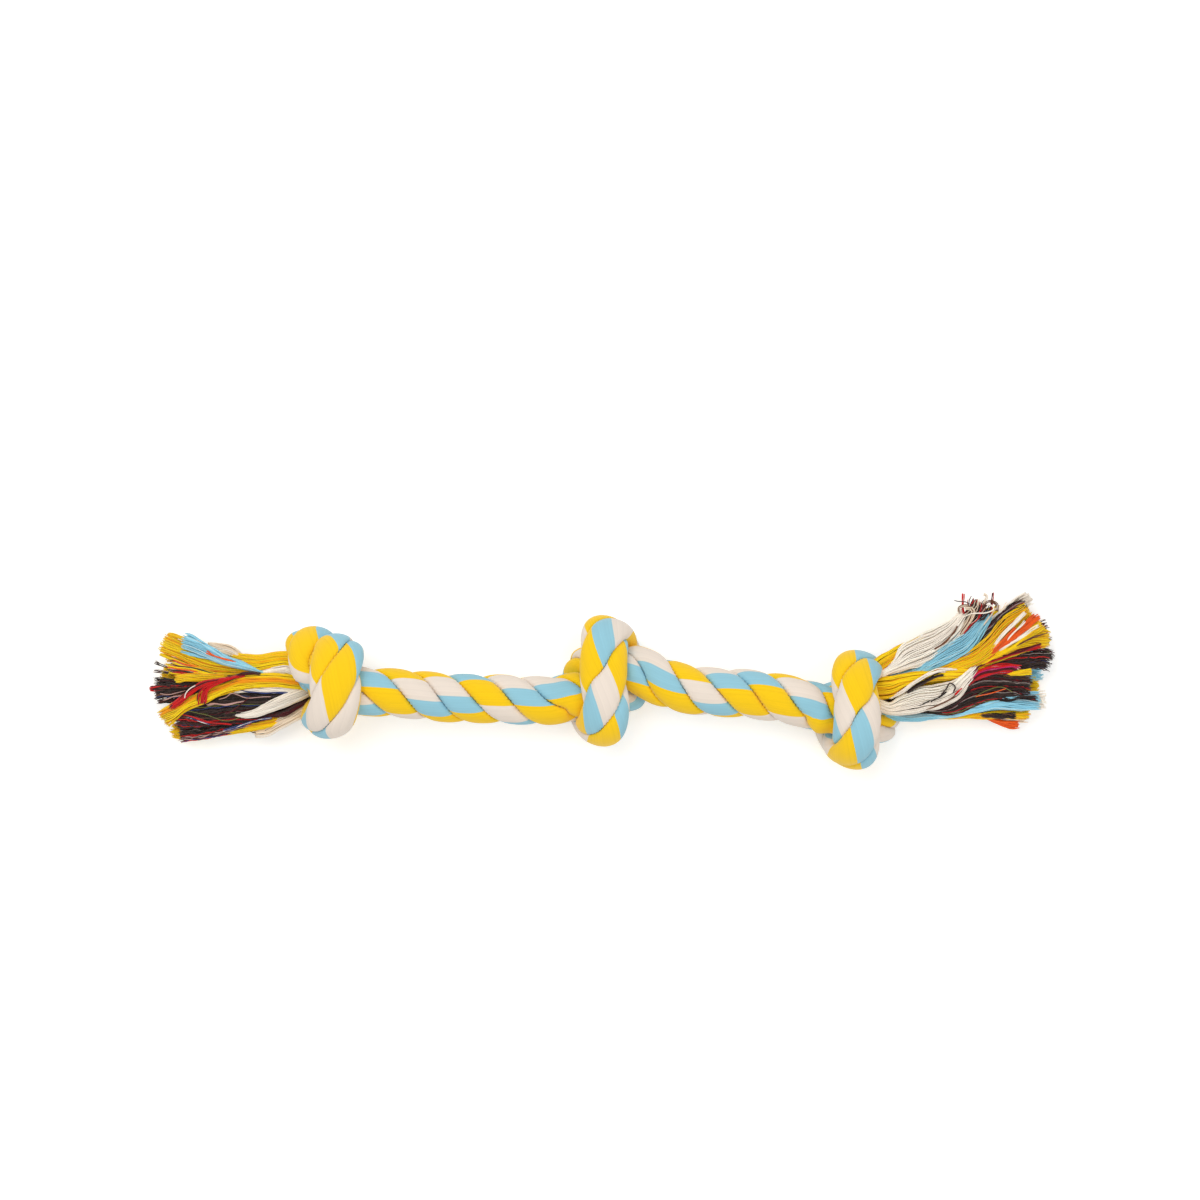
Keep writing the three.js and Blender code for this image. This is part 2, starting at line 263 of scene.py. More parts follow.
def colour_cycles(length):
    """Colour cycles round the rope: fewer where a knot presses the rope thin."""
    pressed = sum(rope.inside(name, length, FULL_HOLD) for name in KNOTS)
    return SPAN_CYCLES + (KNOT_CYCLES - SPAN_CYCLES) * pressed


def strand_section(place, crown, height):
    """A strand's section in rope radii: a round crown, and flat sides against the other strands."""
    across = np.clip(place / crown, 0, 1) * 2 - 1
    ridge = YARN_HEIGHT * height * (1 - across**RIDGE_POWER)
    radius = 1 - GROOVE * np.abs(across) ** GROOVE_POWER + ridge
    lean = CROWN_HALF * across
    within = np.clip((place - crown) / (1 - crown), 0, 1) * 2 - 1
    edge_x, edge_y = (1 - GROOVE) * np.array([math.cos(CROWN_HALF), math.sin(CROWN_HALF)])
    side_x = HEART + (edge_x - HEART) * np.abs(within)
    side_y = -edge_y * within
    over = place < crown
    return np.where(over, radius * np.cos(lean), side_x), np.where(over, radius * np.sin(lean), side_y)


def strand_rings(number, length):
    """Rings of points round one strand. Each point follows one yarn, so the yarns are mesh lines."""
    rng = np.random.default_rng(number)
    count = YARNS * POINTS_PER_YARN
    middle, section, side, other, turn = rope.at(length)
    crown = colour_cycles(length)[:, None] / len(STRANDS)
    place = np.arange(count)[None] / count - TWIST * turn[:, None] - colour_phase(number, length)[:, None]
    place = (place + crown / 2) % 1
    height = np.tile(YARN_RIDGE, YARNS) * np.repeat(rng.uniform(*YARN_SPREAD, YARNS), POINTS_PER_YARN)
    x, y = strand_section(place, crown, height[None])
    angle = 2 * math.pi * (turn[:, None] + number / len(STRANDS))
    across_side = x * np.cos(angle) - y * np.sin(angle)
    across_other = x * np.sin(angle) + y * np.cos(angle)
    flat = across_side[..., None] * side[:, None] + across_other[..., None] * other[:, None]
    return on_floor(middle[:, None] + np.einsum("nij,nkj->nki", section, flat))


def on_floor(points):
    """Points that would go below the floor are pressed flat on it."""
    above = (points[..., 2] - FLOOR_CLEARANCE) / FLOOR_SOFTNESS
    points[..., 2] = FLOOR_CLEARANCE + FLOOR_SOFTNESS * np.logaddexp(0, above)
    return points


def tube_mesh(name, rings, along):
    """Closed mesh from rings of points in millimetres, with a map of yarn number and length."""
    rows, count = rings.shape[:2]
    ends = rings[[0, -1]].mean(axis=1)
    vertices = np.vstack([rings.reshape(-1, 3), ends]) * MM
    row, point = np.meshgrid(np.arange(rows - 1), np.arange(count), indexing="ij")
    beside = (point + 1) % count
    here, above = row * count, (row + 1) * count
    quads = np.stack([here + point, here + beside, above + beside, above + point], -1).reshape(-1, 4)
    rim = np.arange(count)
    rim_beside = (rim + 1) % count
    low = np.stack([np.full(count, rows * count), rim_beside, rim], -1)
    top = (rows - 1) * count
    high = np.stack([np.full(count, rows * count + 1), top + rim, top + rim_beside], -1)
    loops = np.concatenate([quads.ravel(), low.ravel(), high.ravel()])
    sizes = np.concatenate([np.full(len(quads), 4), np.full(2 * count, 3)])
    yarn = np.stack([point, point + 1, point + 1, point], -1).ravel()
    low_yarn = np.stack([rim, rim + 1, rim], -1).ravel()
    high_yarn = np.stack([rim, rim, rim + 1], -1).ravel()
    yarn = np.concatenate([yarn, low_yarn, high_yarn]) / POINTS_PER_YARN
    length = np.stack([along[row], along[row], along[row + 1], along[row + 1]], -1).ravel()
    length = np.concatenate([length, np.full(3 * count, along[0]), np.full(3 * count, along[-1])])
    return make_mesh(name, vertices, loops, sizes, np.stack([yarn, length], -1), flat=2 * count)


def make_mesh(name, vertices, loops, sizes, yarn_map, flat):
    """A mesh from its loops; the last faces, the cut ends, are flat."""
    mesh = bpy.data.meshes.new(name)
    mesh.vertices.add(len(vertices))
    mesh.vertices.foreach_set("co", vertices.astype(np.float32).ravel())
    mesh.loops.add(len(loops))
    mesh.loops.foreach_set("vertex_index", loops.astype(np.int32))
    mesh.polygons.add(len(sizes))
    starts = np.concatenate([[0], np.cumsum(sizes)[:-1]])
    mesh.polygons.foreach_set("loop_start", starts.astype(np.int32))
    mesh.polygons.foreach_set("use_smooth", np.arange(len(sizes)) < len(sizes) - flat)
    layer = mesh.uv_layers.new(name="yarn_map")
    layer.data.foreach_set("uv", yarn_map.astype(np.float32).ravel())
    mesh.update(calc_edges=True)
    mesh.validate()
    return add_object(name, mesh)


def srgb(red, green, blue):
    """An 8-bit colour as linear values."""
    values = np.array([red, green, blue]) / 255
    return (*np.where(values <= 0.04045, values / 12.92, ((values + 0.055) / 1.055) ** 2.4), 1.0)


# Cotton: rope yarns and loose yarns, with how much their tone differs and how deep their bump looks. On
# loose yarns that tone is painted shade, darker in the twist's hollows and lighter on its ridges.
YELLOW = srgb(246, 201, 14)
WHITE = srgb(232, 220, 208)
BLUE = srgb(146, 198, 216)
ROPE_COTTON = dict(roughness=0.88, sheen=0.25, tones_and_twist_shade=(0.97, 1.03), bump=0.35)
LOOSE_COTTON = dict(roughness=0.9, sheen=0.2, tones_and_twist_shade=(0.95, 1.02), bump=0.2)
COTTON_SPECULAR = 0.2
SHEEN_ROUGHNESS = 0.5
BUMP_DISTANCE = 0.0001   # metres
FIBRE_STRETCH = (2.0, 0.35, 1.0)
FIBRE_SCALE = 2.0
FIBRE_DETAIL = 3.0
TWIST_SCALE = 0.45
TWIST_DISTORTION = 2.0


def new_material(name, roughness, specular):
    mat = bpy.data.materials.new(name)
    mat.use_nodes = True
    shader = mat.node_tree.nodes["Principled BSDF"]
    shader.inputs["Roughness"].default_value = roughness
    shader.inputs["Specular IOR Level"].default_value = specular
    return mat, shader


def cotton(name, look):
    """A cotton material, and the output that gives its yarn map."""
    mat, shader = new_material(name, look["roughness"], COTTON_SPECULAR)
    shader.inputs["Sheen Weight"].default_value = look["sheen"]
    shader.inputs["Sheen Roughness"].default_value = SHEEN_ROUGHNESS
    yarn_map = mat.node_tree.nodes.new("ShaderNodeUVMap")
    yarn_map.uv_map = "yarn_map"
    return mat, yarn_map.outputs["UV"]


def dress_cotton(mat, look, colour, lightness, height):
    """Links a colour, what makes it lighter or darker, and what raises its bump."""
    nodes, links = mat.node_tree.nodes, mat.node_tree.links
    shader = nodes["Principled BSDF"]
    tone = nodes.new("ShaderNodeMapRange")
    tone.inputs["To Min"].default_value, tone.inputs["To Max"].default_value = look["tones_and_twist_shade"]
    links.new(lightness, tone.inputs["Value"])
    tint = nodes.new("ShaderNodeHueSaturation")
    links.new(colour, tint.inputs["Color"])
    links.new(tone.outputs["Result"], tint.inputs["Value"])
    links.new(tint.outputs["Color"], shader.inputs["Base Color"])
    bump = nodes.new("ShaderNodeBump")
    bump.inputs["Strength"].default_value = look["bump"]
    bump.inputs["Distance"].default_value = BUMP_DISTANCE
    links.new(height, bump.inputs["Height"])
    links.new(bump.outputs["Normal"], shader.inputs["Normal"])


def strand_material():
    """Cotton cover yarns: three colour bands round the strand, each yarn a little different."""
    mat, yarn_map = cotton("cover_yarns", ROPE_COTTON)
    nodes, links = mat.node_tree.nodes, mat.node_tree.links
    split = nodes.new("ShaderNodeSeparateXYZ")
    links.new(yarn_map, split.inputs[0])
    share = nodes.new("ShaderNodeMath")
    share.operation = "DIVIDE"
    share.inputs[1].default_value = YARNS
    links.new(split.outputs["X"], share.inputs[0])
    bands = nodes.new("ShaderNodeValToRGB")
    bands.color_ramp.interpolation = "CONSTANT"
    stops = bands.color_ramp.elements
    stops[0].position, stops[0].color = 0.0, YELLOW
    stops[1].position, stops[1].color = YELLOW_SHARE, WHITE
    last = stops.new(YELLOW_SHARE + WHITE_SHARE)
    last.color = BLUE
    links.new(share.outputs[0], bands.inputs["Fac"])
    yarn = nodes.new("ShaderNodeMath")
    yarn.operation = "FLOOR"
    links.new(split.outputs["X"], yarn.inputs[0])
    chance = nodes.new("ShaderNodeTexWhiteNoise")
    chance.noise_dimensions = "1D"
    links.new(yarn.outputs[0], chance.inputs["W"])
    stretch = nodes.new("ShaderNodeMapping")
    stretch.inputs["Scale"].default_value = FIBRE_STRETCH
    links.new(yarn_map, stretch.inputs["Vector"])
    fibre = nodes.new("ShaderNodeTexNoise")
    fibre.inputs["Scale"].default_value = FIBRE_SCALE
    fibre.inputs["Detail"].default_value = FIBRE_DETAIL
    links.new(stretch.outputs["Vector"], fibre.inputs["Vector"])
    colour, lightness = bands.outputs["Color"], chance.outputs["Value"]
    dress_cotton(mat, ROPE_COTTON, colour, lightness, fibre.outputs["Fac"])
    return mat


def loose_yarn_material():
    """Soft cotton yarn in the colour of each yarn, with its twist as a bump and as painted shade in the
    twist's hollows.
    """
    mat, yarn_map = cotton("loose_yarns", LOOSE_COTTON)
    nodes, links = mat.node_tree.nodes, mat.node_tree.links
    colour = nodes.new("ShaderNodeVertexColor")
    colour.layer_name = "yarn_colour"
    twist_and_shade = nodes.new("ShaderNodeTexWave")
    twist_and_shade.bands_direction = "DIAGONAL"
    twist_and_shade.inputs["Scale"].default_value = TWIST_SCALE
    twist_and_shade.inputs["Distortion"].default_value = TWIST_DISTORTION
    links.new(yarn_map, twist_and_shade.inputs["Vector"])
    # The twist darkens the colour where its bump is low: painted shade in the hollows.
    dress_cotton(mat, LOOSE_COTTON, colour.outputs["Color"], twist_and_shade.outputs["Fac"], twist_and_shade.outputs["Fac"])
    return mat


cover_yarns = strand_material()
loose_yarns = loose_yarn_material()


def add_strands(stretch, start, end):
    """The three strands of one stretch of rope, each standing for its CAD node."""
    rows = max(LEAST_RINGS, int(round((end - start) / RING_STEP)) + 1)
    length = np.concatenate([[start - END_TUCK], np.linspace(start, end, rows), [end + END_TUCK]])
    made = []
    for number, letter in enumerate(STRANDS):
        name = f"{stretch}_strand_{letter}"
        rings = strand_rings(number, length)
        for tucked in (rings[0], rings[-1]):
            tucked += (tucked.mean(axis=0) - tucked) * END_SHRINK
        piece = tube_mesh("rope_" + name, rings, length)
        piece.data.materials.append(cover_yarns)
        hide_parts(name)
        made.append(piece)
    return made


def add_knots():
    for name in KNOTS:
        start, end = rope.knots[name]
        start += TASSEL_MOUTH if name == "left_knot" else -KNOT_EXIT
        end -= TASSEL_MOUTH if name == "right_knot" else -KNOT_EXIT
        for piece in add_strands(name, start, end):
            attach(piece, name)


def add_span(name, before, after):
    """The plain middle of a span, and its bends beside the knots."""
    start = rope.knots[before][1] + KNOT_EXIT
    end = rope.knots[after][0] - KNOT_EXIT
    for piece in add_strands(name, start + BEND_RUN, end - BEND_RUN):
        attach(piece, name)
    for bend, begin, bodies in (("first", start, (before, name)), ("last", end - BEND_RUN, (name, after))):
        for piece in add_strands(f"{name}_{bend}_bend", begin, begin + BEND_RUN):
            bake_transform(piece)


add_knots()
add_span("left_span", "left_knot", "mid_knot")
add_span("right_span", "mid_knot", "right_knot")

# Tassels of loose yarns
YARN_RADIUS = 0.27
YARN_SIDES = 5
YARN_POINTS = 36
YARN_PITCH = 0.46        # between the yarns of a bundle's outer layer
FILLING = 0.6            # share of a bundle's section that is yarn, inside the outer layer
FILL_REACH = 0.85
GROUP_SPACING = 1.9      # yarns lie in groups round a bundle, with grooves between them
GROUP_GROOVE = 0.2       # depth of such a groove, as a share of the way to the bundle's middle
GROUP_POWER = 6
LEAST_GROUPS = 3
ELLIPSE_STEPS = 181
BUNDLE_TWIST = 0.012     # turn of the yarns round their bundle, for each millimetre
FREE_FROM = 0.1          # share of a yarn's length where it comes free of its neighbours
COMBED_WAVE = 0.35       # a wave that the yarns of a bundle share, and its shortest and longest lengths
COMBED_LENGTHS = (14, 30)
YARN_WAVE = 0.09         # a wave of each yarn alone
YARN_WAVE_LENGTHS = (7, 14)
PLAIN_CRIMP = 0.05
CORE_CRIMP = 0.28        # the dark core yarns keep the kinks of the rope
CRIMP_LENGTHS = (5, 8)
THREAD_RAGGED = 0.5
TIP_TAPER = 0.6
RING_AXIS = (0.31, 0.17, 0.93)   # a direction that hardly any yarn follows, to set out its rings
TWIST_SHIFT = 3.7        # each yarn's twist begins at another place, so they don't line up
CORE_THIN = 0.72         # thickness of a core yarn beside a cover yarn
CORE_PALETTES = ("dark", "mixed_dark", "maroon")
CURL_FROM = 0.72         # share of a yarn's length where its curl begins
BLEND_INSIDE = 2.0       # lengths along the rope inside and outside the knot's mouth
BLEND_OUT = 24.0
TONE_SPREAD = (0.86, 1.08)       # how much yarns of one colour differ in tone
# The pale tan is partly a real tan yarn colour and partly white yarn in shade: painted shade where the
# white locks use it.
YARN_COLOURS = {
    "yellow": (255, 217, 14), "amber": (255, 200, 6), "gold": (250, 166, 4), "white": (255, 245, 232),
    "blue": (150, 214, 236), "sky": (192, 228, 238), "tan_and_shaded_white": (242, 222, 196), "orange": (240, 96, 24),
    "red": (208, 22, 24), "maroon": (88, 22, 28), "charcoal": (64, 48, 44), "black": (36, 25, 22),
    "navy": (58, 72, 130), "pink": (206, 164, 156), "magenta": (206, 36, 110), "green": (118, 122, 60),
    "brown": (112, 70, 46), "grey": (150, 136, 132),
}
# How often each colour comes in a bundle
# The pale tan palette, where a white lock uses it, is painted shade on white yarn.
PALETTES = {
    "yellow": {"yellow": 0.62, "amber": 0.25, "gold": 0.13}, "white": {"white": 1},
    "blue": {"blue": 0.8, "sky": 0.2}, "tan_and_shaded_white": {"tan_and_shaded_white": 0.8, "white": 0.2}, "rose": {"pink": 1},
    "orange": {"orange": 1}, "red": {"red": 0.8, "maroon": 0.2}, "maroon": {"maroon": 0.6, "charcoal": 0.4},
    "navy": {"navy": 0.6, "white": 0.4}, "black": {"black": 1}, "green": {"green": 1},
    "brown": {"brown": 0.6, "tan_and_shaded_white": 0.2, "maroon": 0.2}, "grey": {"grey": 0.7, "charcoal": 0.3},
    "dark": {"charcoal": 0.46, "black": 0.30, "maroon": 0.07, "grey": 0.03, "red": 0.04, "navy": 0.02,
             "pink": 0.02, "brown": 0.05, "green": 0.01},
    "mixed": {"orange": 0.2, "charcoal": 0.2, "white": 0.2, "yellow": 0.25, "red": 0.1, "navy": 0.05},
    "mixed_dark": {"charcoal": 0.38, "black": 0.12, "tan_and_shaded_white": 0.2, "red": 0.1, "maroon": 0.1, "brown": 0.1},
    "pink": {"magenta": 0.2, "red": 0.25, "white": 0.2, "maroon": 0.35},
}
# Bundles of yarn: the lock it belongs to, its yarn colours, half its thickness, how
# ragged and how curly its ends are, and its middle line with half its width (x, y, z, w)
LEFT_BUNDLES = [
    ("yellow_lock_c", "yellow", 2.4, 2.0, 0.0, [
        (-123, 5, 18, 4), (-129, 10, 20, 3), (-133, 11, 20, 3), (-144, 9, 19, 3.5), (-155, 9, 17, 4.5),
        (-168, 11, 15, 5.5), (-179, 15, 13, 5.5), (-185, 17, 11, 5),
    ]),
    ("blue_lock_b", "blue", 2.0, 2.5, 0.0, [
        (-123, 1, 15, 2), (-133, 2, 16, 1.5), (-144, 6, 19, 1), (-150, 8, 21, 1.5), (-157, 10, 20.5, 2),
        (-163, 13, 19, 2.5), (-171, 16.5, 17.5, 4), (-176, 18, 16, 4.5),
    ]),
    # White yarns coloured pale tan: painted shade.
    ("white_lock_b", "tan_and_shaded_white", 2.4, 2.5, 0.0, [
        (-123, 3, 14, 2.5), (-138, 7, 13, 2), (-149, 10, 14.5, 1.5), (-155, 13.5, 17, 2.5),
        (-161, 15, 16, 2), (-166, 16, 14, 1.5),
    ]),
    ("white_lock_c", "white", 2.2, 3.0, 0.0, [
        (-122, 1, 18, 3.5), (-130, 6, 19.5, 3.5), (-136, 6, 19, 2.5), (-143, 5, 17.5, 1.5),
        (-155, 3, 15, 2), (-166, 4, 15.5, 1.5), (-180, 8, 14.5, 2),
    ]),
    ("white_lock_c", "white", 1.6, 2.0, 0.0, [
        (-122, -2, 18.5, 1.5), (-129, -2, 19, 1.5), (-140, -2, 19, 1.5), (-150, -2, 18.5, 1),
        (-159, -3, 16, 1),
    ]),
    ("yellow_lock_a", "yellow", 2.2, 2.5, 0.0, [
        (-122, 0, 19, 3.5), (-126, 1, 20.5, 3), (-137, 2, 20.5, 3), (-150, 1, 20, 3),
        (-159, -2, 19.5, 2.5), (-166, -5, 19, 2.5), (-173, -8, 17.5, 2.5), (-180, -12, 14, 3.5),
        (-185, -15, 11, 4),
    ]),
    ("dark_lock_c", "mixed", 2.2, 2.5, 0.3, [
        (-123, 1, 14, 2), (-138, 3, 15, 2), (-151, 3, 15.5, 2), (-161, 4, 15.5, 1.5), (-173, 6, 16, 2.5),
        (-182, 7.5, 15, 3),
    ]),
    ("yellow_lock_a", "yellow", 1.2, 2.0, 0.2, [
        (-151, 3, 15, 1.5), (-159, 3, 17, 1.5), (-168, 3, 18, 2), (-174, 3, 17.5, 1.5), (-179, 2, 16, 1.5),
    ]),
    ("dark_lock_c", "dark", 3.0, 2.0, 0.3, [
        (-123, -1, 13, 2.5), (-142, -1, 14, 3), (-155, 0, 14, 3), (-168, 0, 14, 3.5),
        (-177, -2, 13.5, 4.5), (-188, -3, 11.5, 5.5),
    ]),
    ("dark_lock_b", "dark", 2.8, 2.0, 0.3, [
        (-123, -3, 15, 2.5), (-130, -4, 16.5, 1.5), (-142, -7, 17, 3), (-155, -7, 16.5, 4.5),
        (-166, -9, 15.5, 4), (-178, -12, 13.5, 3),
    ]),
    ("dark_lock_a", "dark", 2.8, 2.0, 0.3, [
        (-123, -6, 12, 2.5), (-140, -13, 13, 2), (-155, -14, 14.5, 3), (-168, -15, 14, 3),
        (-179, -15, 12, 3.5),
    ]),
    ("dark_lock_a", "dark", 2.4, 2.0, 0.4, [
        (-124, -7, 10, 2.5), (-134, -13, 12, 1.5), (-142, -15, 13, 1.5), (-158, -19, 11.5, 2),
        (-168, -21, 10, 2.5), (-178, -22, 8, 2.5),
    ]),
    ("white_lock_a", "white", 2.0, 2.5, 0.0, [
        (-122, -2, 18, 2.5), (-126, -4, 19.5, 2.5), (-133, -7, 20, 2.5), (-140, -10, 19.5, 2),
        (-145, -12, 18.5, 1.5), (-150, -13, 17, 1), (-155, -13, 13, 0.5), (-164, -13, 10, 1.5),
        (-177, -13, 8, 2),
    ]),
    # White yarns coloured pale tan: painted shade.
    ("white_lock_a", "tan_and_shaded_white", 2.4, 2.5, 0.0, [
        (-121, -9, 14, 2.5), (-125, -11, 15, 2.5), (-130, -14, 15, 2.5), (-136, -17, 14, 2.5),
        (-141, -20, 12, 2), (-146, -21, 10, 1),
    ]),
    ("yellow_lock_b", "yellow", 2.0, 2.5, 0.0, [
        (-124, -6, 10, 1.5), (-133, -13, 12, 1), (-138, -16, 14.5, 2), (-149, -18, 12.5, 2),
        (-158, -20, 10.5, 1.5), (-169, -21, 7, 2.5), (-182, -20, 5, 3),
    ]),
    ("yellow_lock_b", "yellow", 2.6, 3.0, 0.0, [
        (-124, 0, 10, 3), (-143, 0, 7, 4), (-160, 0, 5, 5), (-176, 2, 6, 6.5), (-186, 5, 8, 7),
    ]),
    ("blue_lock_a", "blue", 2.4, 3.0, 0.0, [
        (-124, -4, 9, 2.5), (-143, -10, 6, 3), (-161, -14, 4, 4.5), (-179, -15, 3.5, 5),
    ]),
    ("blue_lock_c", "blue", 2.2, 3.0, 0.0, [
        (-123, 0, 13, 2.5), (-142, 0, 11, 3), (-160, 0, 9, 3.5), (-175, -2, 5, 4.5), (-182, -3, 3, 5),
    ]),
    ("white_lock_b", "white", 2.6, 3.0, 0.0, [
        (-124, 1, 11, 2.5), (-143, 5, 8, 4), (-160, 8, 6, 5), (-173, 10, 4, 5), (-181, 12, 3, 5),
    ]),
    ("dark_lock_c", "maroon", 0.8, 1.0, 0.0, [
        (-137, 3, 19, 0.5), (-147, 5, 22.5, 0.5), (-154, 3, 23, 0.5), (-160, 1, 22, 0.5),
    ]),
    ("dark_lock_c", "red", 0.8, 1.0, 0.0, [
        (-149, 4, 22, 0.5), (-154, 3, 23.5, 0.5), (-160, 1, 23.5, 0.8), (-165, -2, 23, 1),
        (-167, -8, 20, 1),
    ]),
    ("dark_lock_c", "red", 0.8, 1.5, 0.2, [
        (-152, 3, 20, 0.5), (-160, 2, 23, 0.5), (-167, 0, 23, 1), (-173, -4, 21.5, 1), (-181, -10, 17, 1),
    ]),
    ("dark_lock_c", "red", 0.8, 1.0, 0.3, [
        (-172, -1, 15.5, 0.5), (-181, -1, 15, 0.5), (-190, -2, 13, 1),
    ]),
    ("dark_lock_b", "maroon", 0.8, 0.8, 0.0, [
        (-123, -7, 17, 0.5), (-127, -9, 18.5, 1), (-132, -12, 18, 1), (-138, -13, 16.5, 0.5),
        (-143, -14, 15.5, 0.5),
    ]),
]
